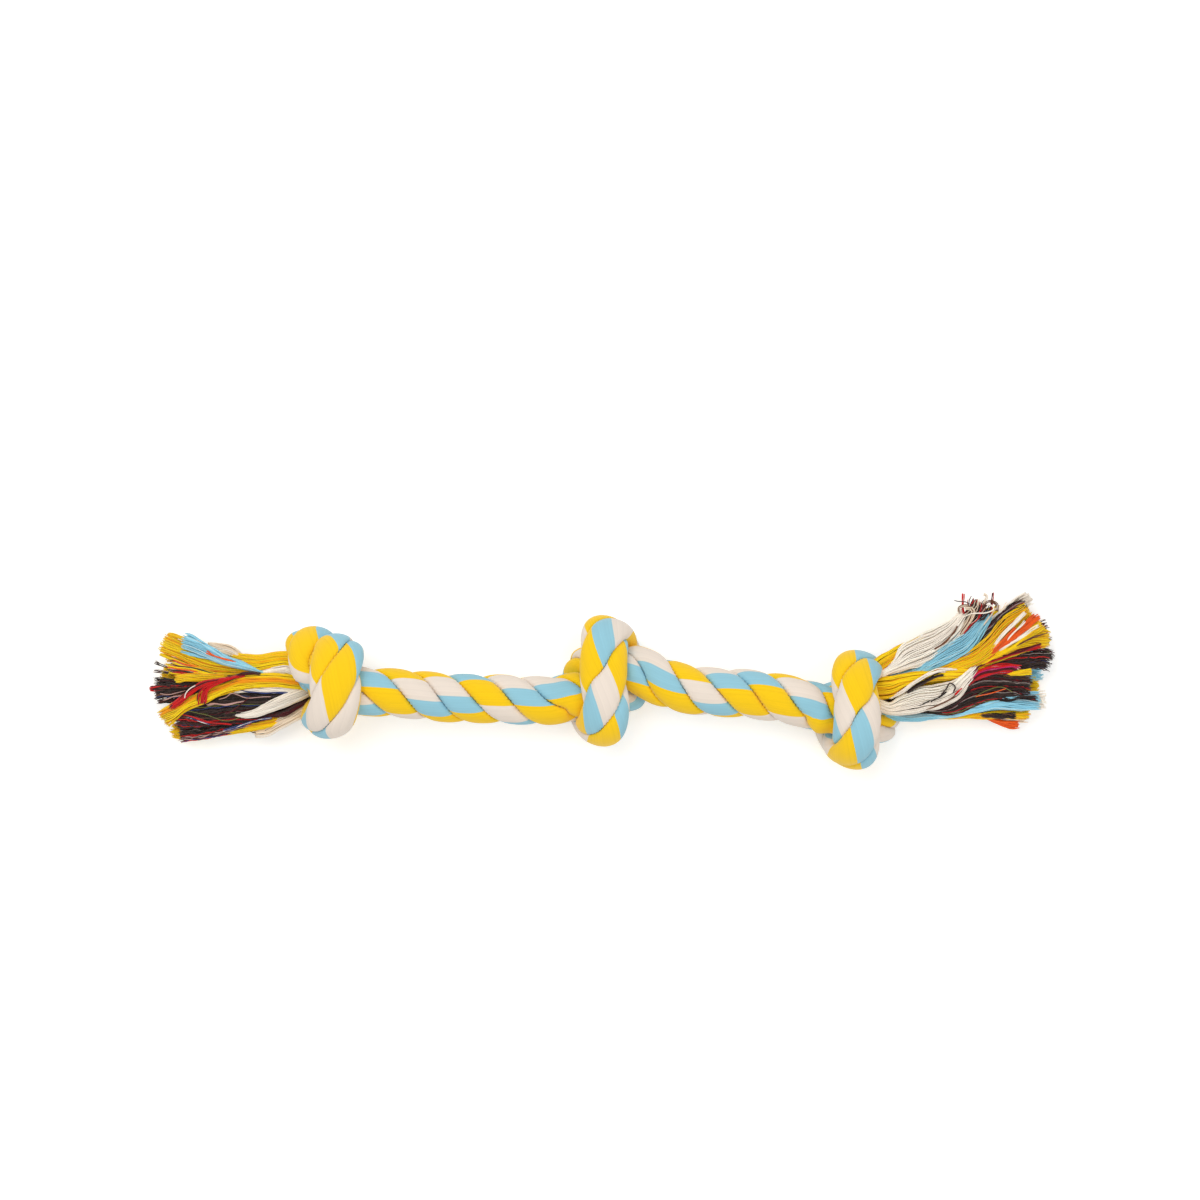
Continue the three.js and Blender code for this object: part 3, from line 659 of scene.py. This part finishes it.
RIGHT_BUNDLES = [
    ("yellow_lock_a", "yellow", 2.4, 2.5, 0.0, [
        (115, 3, 18, 3.5), (119, 8, 20, 4), (123, 11, 20, 3.5), (129, 15, 15, 2.5), (134, 17, 11, 2.5),
        (141, 19, 8, 3), (156, 25, 5, 4), (170, 29, 4, 4.5),
    ]),
    ("white_lock_b", "white", 2.6, 2.5, 0.3, [
        (115, 2, 18, 2), (121, 6, 20, 2), (126, 9, 21.5, 3.5), (130, 12, 21.5, 5.5), (136, 15, 21, 6),
        (143, 19, 20, 5.5), (149, 24, 18.5, 4), (152, 28, 17.5, 2.5), (154, 31, 17, 2),
    ]),
    ("blue_lock_a", "blue", 2.4, 2.5, 0.2, [
        (116, 0, 17, 2.5), (127, 3, 18, 2), (133, 5, 19, 2), (140, 9, 20, 3.5), (148, 14, 20, 5),
        (154, 18, 19, 5), (159, 24, 18, 3.5), (162, 28, 17, 2.5), (164, 31, 16.5, 2),
    ]),
    ("dark_lock_a", "mixed_dark", 2.6, 4.0, 2.2, [
        (116, -1, 14, 2.5), (132, 7, 15, 2.5), (142, 15, 16, 2.5), (150, 20, 17, 2.5), (155, 26, 17.5, 3),
        (159, 31, 18, 4), (161, 35, 17, 4.5),
    ]),
    ("dark_lock_a", "dark", 2.4, 3.0, 1.0, [
        (116, -2, 12, 2.5), (136, 5, 13, 2.5), (155, 14, 14, 2.5), (164, 22, 16, 2.5),
        (168, 26, 16.5, 2.5), (174, 31, 15.5, 2.5), (180, 34, 14, 2),
    ]),
    ("white_lock_a", "white", 2.0, 3.0, 0.6, [
        (116, -1, 9, 2.5), (137, 7, 8, 3), (155, 16, 8, 2.5), (169, 27, 9, 2.5), (177, 34, 9.5, 2.5),
        (183, 37, 9, 2.5),
    ]),
    ("yellow_lock_b", "yellow", 2.4, 2.5, 0.2, [
        (116, -2, 17, 2.5), (131, 3, 18.5, 2), (141, 5, 19, 2), (150, 8, 19.5, 3), (159, 12, 19.5, 4),
        (166, 18, 19, 4), (172, 25, 18, 4), (177, 29, 16.5, 3.5), (181, 32, 15, 3.5),
    ]),
    ("yellow_lock_b", "orange", 0.8, 1.0, 0.2, [
        (163, 10.5, 19, 0.5), (167, 15.5, 21, 1), (172, 20.5, 21.5, 1), (175, 24, 21, 0.5),
    ]),
    ("yellow_lock_b", "orange", 0.8, 2.0, 0.2, [
        (168, 15.5, 20, 0.5), (173, 19, 21, 1), (177, 22.5, 21, 1), (181, 26, 20, 1.5), (185, 29, 18, 1.5),
    ]),
    ("yellow_lock_b", "white", 0.6, 2.0, 0.3, [
        (164, 12.5, 19.5, 0.5), (168, 19.5, 21.5, 0.5), (173, 24.5, 22, 0.5), (179, 30.5, 20, 0.5),
    ]),
    ("yellow_lock_b", "white", 0.6, 2.0, 0.3, [
        (168, 14.5, 19.5, 0.5), (173, 17.5, 21, 0.5), (179, 21.5, 21, 0.5), (185, 25.5, 19, 0.5),
    ]),
    ("yellow_lock_b", "yellow", 1.2, 2.5, 0.3, [
        (170, 13, 19, 0.5), (177, 18, 20, 1), (183, 23, 19, 2), (187, 25, 17, 2),
    ]),
    ("yellow_lock_a", "yellow", 2.4, 2.5, 0.3, [
        (116, -3, 15, 2.5), (136, 1, 15.5, 2.5), (150, 5, 16.5, 2.5), (160, 9, 17.5, 2.5),
        (168, 13, 18, 3), (177, 17, 17, 3.5), (184, 19, 15.5, 4), (190, 19, 13.5, 3.5),
    ]),
    ("dark_lock_b", "red", 0.9, 1.5, 0.2, [
        (159, 8, 18, 0.5), (168, 11, 19.5, 0.5), (177, 14, 19.5, 0.5), (186, 17, 18, 1),
    ]),
    ("dark_lock_b", "dark", 2.6, 3.0, 0.8, [
        (116, -4, 14, 2.5), (141, 3, 14, 2.5), (160, 7, 15.5, 2), (168, 9, 16, 2.5), (177, 10, 15.5, 3.5),
        (187, 11, 13.5, 4.5), (191, 10, 12, 4),
    ]),
    ("dark_lock_b", "mixed_dark", 2.2, 3.0, 0.6, [
        (141, 2, 13, 2), (159, 6, 13, 3), (173, 16, 11, 4), (187, 22, 9, 5), (190, 23, 8, 5),
    ]),
    ("yellow_lock_c", "yellow", 2.6, 2.5, 0.0, [
        (115, -2, 20, 4.5), (122, -1, 22, 4.5), (127, 1, 22, 3.5), (135, 3, 21.5, 2.5), (144, 4, 20.5, 2),
        (154, 5, 19, 2), (163, 7, 17, 2),
    ]),
    ("white_lock_c", "white", 2.6, 2.5, 0.3, [
        (116, -8, 20, 2.5), (122, -10, 21, 2.5), (129, -8, 22, 4.5), (136, -6, 22, 5), (142, -5, 21.5, 5),
        (149, -2, 21, 4), (153, 2, 20.5, 2.5), (156, 5, 19.5, 2), (158, 7, 18, 1.5),
    ]),
    ("dark_lock_c", "dark", 3.0, 2.5, 0.6, [
        (117, -9, 15, 2.5), (132, -9, 15, 2.5), (145, -9, 16, 3), (154, -3, 18, 4), (161, 0, 18.5, 5),
        (170, 1, 18, 5), (182, 0, 15, 4.5),
    ]),
    ("dark_lock_c", "dark", 2.2, 2.5, 0.4, [
        (118, -9, 14, 2.5), (136, -10, 14, 2), (148, -11, 15.5, 2), (157, -7, 16.5, 2.5), (166, -5, 17, 2),
        (175, -5, 16, 1.5), (185, -6, 14.5, 1),
    ]),
    ("dark_lock_c", "pink", 1.2, 2.5, 0.4, [
        (154, -1, 19, 0.5), (159, 4, 21, 1.5), (165, 6, 21, 2), (172, 7, 20, 2), (177, 6, 18, 2),
    ]),
    ("blue_lock_b", "blue", 2.4, 2.5, 0.2, [
        (118, -11, 12, 2.5), (132, -13, 12, 2), (148, -12, 13, 2), (159, -10, 15, 2), (166, -8, 16, 2.5),
        (175, -7, 15.5, 3.5), (186, -7, 13.5, 4),
    ]),
    ("blue_lock_b", "white", 1.8, 3.0, 0.6, [
        (144, -7, 9, 2), (164, -8, 11, 2.5), (178, -7, 11.5, 3), (189, -7, 11, 4),
    ]),
    ("blue_lock_c", "blue", 2.0, 2.5, 0.0, [
        (119, -12, 15, 2), (128, -14, 14, 1.5), (135, -14, 13.5, 1.5), (142, -13, 13, 1.5),
        (148, -12, 12, 1.5), (164, -9, 8, 3), (183, -7, 6, 4),
    ]),
    ("yellow_lock_c", "yellow", 2.0, 2.5, 0.3, [
        (118, -11, 9, 2.5), (137, -12, 9, 2.5), (152, -13, 11, 1.5), (159, -13, 12, 1.5),
        (166, -13, 12, 1.5), (173, -13, 11.5, 1.5), (182, -13, 10.5, 1.5),
    ]),
    ("yellow_lock_c", "orange", 1.2, 1.5, 0.0, [
        (140, -7, 8, 1), (154, -11, 9, 0.5), (163, -14, 10, 0.5), (169, -16, 10.5, 1), (174, -17, 10, 1.5),
        (178, -17, 9.5, 1.5),
    ]),
    # White yarns coloured pale tan: painted shade.
    ("white_lock_c", "tan_and_shaded_white", 1.4, 2.5, 0.4, [
        (140, -6, 7, 1), (156, -11, 8, 1), (165, -13, 8.5, 1), (173, -14, 9.5, 1.5), (182, -14, 9.5, 1.5),
    ]),
    ("blue_lock_c", "blue", 2.4, 3.0, 0.2, [
        (117, -6, 11, 3), (137, -4, 7, 3.5), (156, 1, 4.5, 5), (174, 7, 3.5, 7), (188, 9, 3, 7.5),
    ]),
    ("white_lock_a", "white", 2.4, 3.0, 0.2, [
        (117, -4, 11, 3), (137, 3, 7, 3.5), (156, 11, 4.5, 5), (172, 18, 3.5, 6), (185, 23, 3, 7),
    ]),
    ("yellow_lock_a", "yellow", 2.2, 3.0, 0.2, [
        (117, -7, 10, 3), (137, -8, 6, 3.5), (156, -5, 4, 5), (174, -2, 3, 6), (187, 0, 3, 6),
    ]),
    ("yellow_lock_c", "yellow", 0.9, 1.0, 0.3, [
        (170, 4, 18.5, 0.5), (176, 5, 19.5, 1), (182, 6, 18.5, 1),
    ]),
    ("yellow_lock_c", "dark", 0.9, 1.5, 0.2, [
        (155, -12, 12, 1), (166, -13, 14, 1), (176, -13, 13.5, 1),
    ]),
]
# Single threads and thin groups of them: lock, colours, number of yarns and middle line (x, y, z)
LEFT_THREADS = [
    ("blue_lock_b", "orange", 2, [
        (-151.5, 9, 22), (-156.5, 10.5, 23), (-162, 12, 22.5), (-165.5, 14, 21),
    ]),
    ("dark_lock_c", "red", 5, [
        (-157.5, 2.5, 22), (-163.5, 0, 23.5), (-167.5, -3, 23), (-168.5, -8.5, 19.5),
    ]),
    ("dark_lock_a", "navy", 4, [
        (-138, -14, 17), (-144, -15, 18), (-153, -18, 16.5), (-159, -19.5, 15),
    ]),
    ("dark_lock_a", "red", 5, [
        (-155.5, -20, 11), (-164, -21.5, 10.5), (-176, -24.5, 8.5),
    ]),
    ("dark_lock_b", "red", 2, [
        (-146.5, -5, 20), (-149.5, -7.5, 21), (-154.5, -11.5, 20.5), (-157.5, -12.5, 19),
    ]),
    ("white_lock_a", "white", 1, [
        (-174, -5.5, 22), (-173.5, -3.5, 23), (-172, -1.5, 23.5), (-169.5, 0, 22.5),
    ]),
    ("dark_lock_a", "black", 1, [
        (-151, -20, 13), (-145, -18.5, 14), (-142, -18.5, 14), (-141, -19.5, 13.5), (-142.5, -20.5, 13),
        (-148.5, -20, 12.5),
    ]),
    ("dark_lock_b", "navy", 2, [
        (-129, -3.5, 20), (-135, -3.5, 20.5), (-142, -3.5, 20.5), (-148, -3, 20.5), (-154, -2.5, 19.5),
    ]),
    ("dark_lock_b", "rose", 1, [
        (-138, -5, 20), (-147.5, -5.5, 20.5), (-152, -4.5, 20.5), (-154.5, -4, 20.5), (-157, -5.5, 20),
        (-160.5, -6, 19),
    ]),
    ("dark_lock_b", "rose", 3, [
        (-149, -7, 19.5), (-152, -7.5, 20.3), (-157, -8.5, 20), (-161.5, -8, 19.3), (-165.5, -8.5, 18),
    ]),
    ("dark_lock_a", "green", 1, [
        (-150.5, -13.5, 17.5), (-154.5, -15, 18), (-159, -15, 17.8), (-165, -13, 18), (-170.5, -12, 17.5),
        (-174, -11.5, 16),
    ]),
    ("dark_lock_a", "red", 3, [
        (-155, -17, 16.5), (-159, -16.5, 17.3), (-165, -16, 17.3), (-171.5, -13.5, 17),
        (-177.5, -12.5, 15),
    ]),
    ("dark_lock_a", "navy", 2, [
        (-164, -17, 16.5), (-167, -16, 17), (-172, -14.5, 16.5), (-177, -13.5, 14.5),
    ]),
    ("dark_lock_c", "rose", 1, [
        (-174.5, -2.5, 16.5), (-177.5, -3.5, 17), (-182.5, -4.5, 16), (-186, -4, 14.5),
    ]),
    ("dark_lock_c", "rose", 2, [
        (-174.5, -4.5, 16.5), (-177.5, -5, 16.8), (-180.5, -5.5, 16), (-184, -7, 14),
    ]),
    ("dark_lock_c", "dark", 4, [
        (-176, 5, 14), (-182, 7, 13.5), (-188, 9.5, 12),
    ]),
    ("dark_lock_c", "dark", 4, [
        (-176, 4, 14), (-182, 5, 13), (-188.5, 5.5, 12),
    ]),
]
RIGHT_THREADS = [
    ("yellow_lock_c", "white", 7, [
        (122, -5.5, 22), (126.5, -3, 24.5), (132, 1, 25), (137, 4, 25), (142.5, 6, 24), (150, 6.5, 21),
    ]),
    ("yellow_lock_c", "dark", 7, [
        (129, -3, 23.5), (133, -0.5, 24.5), (137.5, 2, 24.5), (142, 4, 23.5), (147, 4.5, 21.5),
    ]),
    ("white_lock_c", "black", 1, [
        (145.5, -3, 24.5), (142.5, -5, 24.8), (139, -7.5, 24.6),
    ]),
    ("white_lock_c", "black", 1, [
        (138.5, -6.5, 24.8), (133.5, -9, 24.2), (128.5, -11.5, 22.8),
    ]),
    ("white_lock_c", "brown", 1, [
        (151, -2.5, 23.5), (147, -6, 24), (142, -8.5, 23.5), (135, -10.5, 23),
    ]),
    ("dark_lock_a", "red", 5, [
        (153, 28.5, 18.5), (152.5, 33.5, 21), (152.5, 38.5, 21.5),
    ]),
    ("dark_lock_a", "red", 4, [
        (164.5, 29, 18.5), (165, 35.5, 20.5), (165.5, 39, 21),
    ]),
    ("white_lock_b", "white", 1, [
        (153.5, 28.5, 20.5), (156.5, 30, 22.5), (162, 30, 23), (165.5, 31.5, 23), (164.5, 33.5, 22.5),
        (162, 34, 21.5),
    ]),
    ("dark_lock_a", "brown", 5, [
        (149.5, 18.5, 19), (154, 25.5, 21), (156.5, 30.5, 22), (154.5, 33, 22.5), (151, 32.5, 22),
        (151, 30, 20.5),
    ]),
    ("dark_lock_a", "tan_and_shaded_white", 4, [
        (150.5, 18.5, 19), (155.5, 26, 21), (157, 30.5, 22), (155.5, 32, 22.5), (153, 32, 22.5),
    ]),
    ("dark_lock_a", "brown", 4, [
        (157, 24.5, 19), (161, 31.5, 21), (163, 35, 21.5), (166.5, 34, 21.5), (167, 30.5, 20.5),
    ]),
    ("dark_lock_a", "tan_and_shaded_white", 3, [
        (158, 25.5, 19), (161, 33.5, 21), (162.5, 37, 21.5), (161, 38, 21),
    ]),
    ("dark_lock_a", "tan_and_shaded_white", 2, [
        (161.5, 25, 19), (165.5, 31, 21), (168, 33.5, 21.5), (168.5, 31.5, 21), (171.5, 34.5, 20.5),
    ]),
    ("dark_lock_a", "black", 1, [
        (163, 33, 19.5), (156.5, 33.5, 21), (153.5, 35, 21.5), (149, 35.5, 21),
    ]),
    ("white_lock_c", "grey", 1, [
        (142, -5.5, 24), (145.5, -1.5, 24.5), (147, 0.5, 24.5), (149, -1, 24.5), (148, -3.5, 24),
    ]),
    ("white_lock_c", "red", 2, [
        (149, -4, 24), (150.5, -2.5, 25), (152, -1.5, 24.5),
    ]),
    ("dark_lock_c", "green", 1, [
        (157.5, -5, 21), (165, -1.5, 22), (170, -1, 22), (174, -3, 20),
    ]),
    ("white_lock_b", "brown", 2, [
        (140.5, 15, 23), (145.5, 18.5, 23.5), (148.5, 22, 23), (150, 25, 21.5),
    ]),
    ("dark_lock_c", "red", 3, [
        (153, -1.5, 20.5), (155, 1.5, 22), (157, 5, 22), (159, 7.5, 21.5), (162.5, 8.5, 19.5),
    ]),
    ("dark_lock_c", "orange", 1, [
        (158, -5, 21), (162.5, -4, 23.2), (166.5, -2.5, 23.4), (171, -1.5, 21.5),
    ]),
    ("dark_lock_c", "dark", 5, [
        (166, -6, 18), (172.5, -6.5, 18.8), (177, -5.5, 18.6), (184, -5.5, 16.5),
    ]),
    ("dark_lock_b", "brown", 3, [
        (172.5, 15, 19.5), (177, 17.5, 21.3), (182.5, 20, 21), (188.5, 21.5, 18),
    ]),
    ("yellow_lock_b", "white", 2, [
        (170.5, 18, 21), (172.5, 20.5, 22.3), (175.5, 24, 22.5), (179, 27, 21),
    ]),
    ("dark_lock_a", "red", 3, [
        (152, 20, 19.5), (156, 25, 22), (159, 28, 22.5), (160.5, 32, 22.5), (161, 34.5, 21.5),
    ]),
]


def along_guide(guide):
    """A smooth line through the guide's points, the share of its length at each sample, and its length."""
    line = Rope.curve(np.array(guide, float))
    steps = np.linalg.norm(np.diff(line[:, :3], axis=0), axis=1)
    reached = np.concatenate([[0], np.cumsum(steps)])
    return line, reached / reached[-1], reached[-1]


def bundle_places(rng, width, thick, scale):
    """Where yarns lie in a bundle's section: an outer layer in groups round a looser filling."""
    outer = max(1, int(round(math.pi * (width + thick) / (YARN_PITCH * scale))))
    inner = int(round(FILLING * width * thick / YARN_RADIUS**2))
    angle = np.linspace(0, 2 * math.pi, ELLIPSE_STEPS)
    step = np.hypot(width * np.sin(angle), thick * np.cos(angle))
    arc = np.concatenate([[0], np.cumsum((step[1:] + step[:-1]) / 2)])
    outer_angle = np.interp((np.arange(outer) + rng.uniform()) / outer * arc[-1], arc, angle)
    groups = max(LEAST_GROUPS, round(math.pi * (width + thick) / GROUP_SPACING))
    groove = np.abs(np.cos(math.pi * groups * np.arange(outer) / outer)) ** GROUP_POWER
    reach, inner_angle = thread_places(inner)
    reach = np.concatenate([1 - GROUP_GROOVE * groove, (FILL_REACH - GROUP_GROOVE) * reach])
    return reach, np.concatenate([outer_angle, inner_angle])


def thread_places(count):
    """Where a few yarns lie in a round section, by the golden angle."""
    number = np.arange(count)
    return np.sqrt(number / max(1, count)), number * math.pi * (3 - math.sqrt(5))


def yarn_paths(rng, guide, thick, places, ragged, curl, crimp):
    """Middle lines of yarns along a guide, in millimetres: (yarns, points, 3)."""
    line, share, length = along_guide(guide)
    tangent = unit(np.gradient(line[:, :3], axis=0))
    across = unit(np.cross((0, 0, 1), tangent))
    upward = np.cross(tangent, across)
    reach, angle = places[0][:, None], places[1][:, None]
    count = len(reach)
    end = 1 - rng.uniform(0, ragged, (count, 1)) / length
    along = np.linspace(0, 1, YARN_POINTS)[None] * end

    def on(values):
        return np.stack([np.interp(along, share, column) for column in values.T], -1)

    def wave(size, lengths, follow):
        """A wave along each yarn; the more it follows its neighbours, the more combed the yarns look."""
        own = 1 - follow
        rate = 2 * math.pi / (rng.uniform(*lengths) + own * rng.uniform(-1, 1, (count, 1)))
        start = rng.uniform(0, 2 * math.pi) + own * rng.uniform(0, 2 * math.pi, (count, 1))
        return size * np.sin(rate * along * length + start + follow * 2 * angle)

    def waves():
        loose = smooth((along - FREE_FROM) / (1 - FREE_FROM))
        loose_waves = wave(COMBED_WAVE, COMBED_LENGTHS, 1) + wave(crimp, CRIMP_LENGTHS, 0)
        return loose * loose_waves + wave(YARN_WAVE, YARN_WAVE_LENGTHS, 0)

    here = on(line)
    turned = angle + BUNDLE_TWIST * along * length
    sideways = reach * np.cos(turned) * here[..., 3] + waves()
    upright = reach * np.sin(turned) * thick + waves()
    bend = curl * np.clip((along - CURL_FROM) / (1 - CURL_FROM), 0, 1) ** 2
    way = rng.uniform(0, 2 * math.pi, (count, 1))
    sideways = sideways + bend * np.cos(way)
    upright = upright + bend * np.abs(np.sin(way))
    return here[..., :3] + sideways[..., None] * on(across) + upright[..., None] * on(upward)


def palette_colours(rng, palette, count):
    """A colour for each yarn, drawn from a palette, each a little lighter or darker."""
    names = list(PALETTES[palette])
    chance = np.array(list(PALETTES[palette].values()))
    drawn = rng.choice(len(names), count, p=chance / chance.sum())
    colours = np.array([srgb(*YARN_COLOURS[name]) for name in names])[drawn]
    colours[:, :3] *= rng.uniform(*TONE_SPREAD, (count, 1))
    return np.minimum(colours, 1)


def yarn_tubes(name, paths, colours, thickness):
    """One mesh of round yarns along the paths, with a colour for each yarn."""
    yarns, rows = paths.shape[:2]
    tangent = unit(np.gradient(paths, axis=1))
    first = unit(np.cross(tangent, RING_AXIS))
    second = np.cross(tangent, first)
    turn = 2 * math.pi * np.arange(YARN_SIDES) / YARN_SIDES
    ring = np.cos(turn)[:, None] * first[:, :, None] + np.sin(turn)[:, None] * second[:, :, None]
    taper = np.ones(rows)
    taper[-1] = TIP_TAPER
    points = paths[:, :, None] + ring * (thickness[:, None] * taper)[:, :, None, None]
    points = on_floor(points).reshape(-1, 3)
    around = np.arange(YARN_SIDES)
    yarn, row, side = np.meshgrid(np.arange(yarns), np.arange(rows - 1), around, indexing="ij")
    beside = (side + 1) % YARN_SIDES
    here = (yarn * rows + row) * YARN_SIDES
    above = here + YARN_SIDES
    quads = np.stack([here + side, here + beside, above + beside, above + side], -1).reshape(-1, 4)
    starts = np.arange(yarns)[:, None] * rows * YARN_SIDES + around[::-1]
    tips = starts[:, ::-1] + (rows - 1) * YARN_SIDES
    loops = np.concatenate([quads.ravel(), starts.ravel(), tips.ravel()])
    sizes = np.concatenate([np.full(len(quads), 4), np.full(2 * yarns, YARN_SIDES)])
    step = np.linalg.norm(np.diff(paths, axis=1), axis=2)
    length = np.concatenate([np.zeros((yarns, 1)), np.cumsum(step, axis=1)], axis=1)
    length += TWIST_SHIFT * np.arange(yarns)[:, None]
    low, high = length[yarn, row], length[yarn, row + 1]
    along = np.stack([low, low, high, high], -1).ravel()
    turned = np.stack([side, side + 1, side + 1, side], -1).ravel() / YARN_SIDES
    end_turned = np.tile(around / YARN_SIDES, 2 * yarns)
    end_along = np.repeat(np.concatenate([length[:, 0], length[:, -1]]), YARN_SIDES)
    yarn_map = np.stack([np.concatenate([turned, end_turned]), np.concatenate([along, end_along])], -1)
    piece = make_mesh(name, points * MM, loops, sizes, yarn_map, flat=2 * yarns)
    layer = piece.data.color_attributes.new("yarn_colour", "FLOAT_COLOR", "POINT")
    point_colours = np.repeat(colours, rows * YARN_SIDES, axis=0)
    layer.data.foreach_set("color", point_colours.astype(np.float32).ravel())
    piece.data.materials.append(loose_yarns)
    return piece


def add_tassel(name, knot, way, bundles, threads):
    """The yarn locks of one tassel, beside its knot at the rope's mouth."""
    rng = np.random.default_rng(len(name))
    made = {}

    def keep(lock, palette, paths, scale):
        colours = palette_colours(rng, palette, len(paths))
        made.setdefault(lock, []).append((paths, colours, np.full(len(paths), scale)))

    for lock, palette, thick, ragged, curl, guide in bundles:
        scale, crimp = (CORE_THIN, CORE_CRIMP) if palette in CORE_PALETTES else (1, PLAIN_CRIMP)
        places = bundle_places(rng, np.mean([point[3] for point in guide]), thick, scale)
        keep(lock, palette, yarn_paths(rng, guide, thick, places, ragged, curl, crimp), scale)
    for lock, palette, count, guide in threads:
        half = YARN_RADIUS * math.sqrt(count)
        wide_guide = [(*point, half) for point in guide]
        paths = yarn_paths(rng, wide_guide, half, thread_places(count), THREAD_RAGGED, 0, PLAIN_CRIMP)
        keep(lock, palette, paths, CORE_THIN if lock.startswith("dark") else 1)
    mouth = rope.knots[knot][0 if way < 0 else 1]
    places = np.array([mouth - way * BLEND_INSIDE, mouth + way * BLEND_OUT])
    for lock, groups in made.items():
        paths, colours, scale = (np.concatenate(values) for values in zip(*groups))
        thickness = YARN_RADIUS * scale * rng.uniform(*YARN_SPREAD, len(paths))
        piece = yarn_tubes(f"yarns_{name}_{lock}", paths, colours, thickness)
        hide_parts(f"{name}_{lock}")
        if lock.startswith("dark"):
            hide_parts(name.replace("tassel", "neck") + "_strand_" + lock[-1])
        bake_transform(piece)


add_tassel("left_tassel", "left_knot", -1, LEFT_BUNDLES, LEFT_THREADS)
add_tassel("right_tassel", "right_knot", 1, RIGHT_BUNDLES, RIGHT_THREADS)

# Floor and light
FLOOR_SIZE = 6.0
FLOOR_COLOUR = (0.93, 0.93, 0.93, 1)
FLOOR_ROUGHNESS = 0.9
FLOOR_SPECULAR = 0.1
FLOOR_LIFT = 0.3         # brightens the floor for the camera alone, as a lit sweep
LIFT_COLOUR = (1, 1, 1, 1)
WORLD_COLOUR = (1, 0.975, 0.94, 1)
WORLD_STRENGTH = 0.66
LAMPS = {
    "key": dict(place=(-0.5, 0.7, 1.6), size=1.2, power=13.0),
    "fill": dict(place=(0.8, -0.4, 1.4), size=1.4, power=5.0),
}


def add_floor():
    bpy.ops.mesh.primitive_plane_add(size=FLOOR_SIZE)
    floor = bpy.context.object
    floor.name = "floor"
    mat, shader = new_material("floor", FLOOR_ROUGHNESS, FLOOR_SPECULAR)
    nodes, links = mat.node_tree.nodes, mat.node_tree.links
    shader.inputs["Base Color"].default_value = FLOOR_COLOUR
    path = nodes.new("ShaderNodeLightPath")
    lift = nodes.new("ShaderNodeMath")
    lift.operation = "MULTIPLY"
    lift.inputs[1].default_value = FLOOR_LIFT
    links.new(path.outputs["Is Camera Ray"], lift.inputs[0])
    shader.inputs["Emission Color"].default_value = LIFT_COLOUR
    links.new(lift.outputs[0], shader.inputs["Emission Strength"])
    floor.data.materials.append(mat)


def add_lights():
    world = bpy.data.worlds.new("studio")
    bpy.context.scene.world = world
    world.use_nodes = True
    background = world.node_tree.nodes["Background"]
    background.inputs["Color"].default_value = WORLD_COLOUR
    background.inputs["Strength"].default_value = WORLD_STRENGTH
    for name, look in LAMPS.items():
        data = bpy.data.lights.new(name, "AREA")
        data.size, data.energy = look["size"], look["power"]
        lamp = add_object(name, data)
        lamp.location = look["place"]
        lamp.rotation_mode = "QUATERNION"
        lamp.rotation_quaternion = (-Vector(look["place"])).to_track_quat("-Z", "Y")


add_floor()
add_lights()
bpy.context.scene.view_settings.view_transform = "Standard"
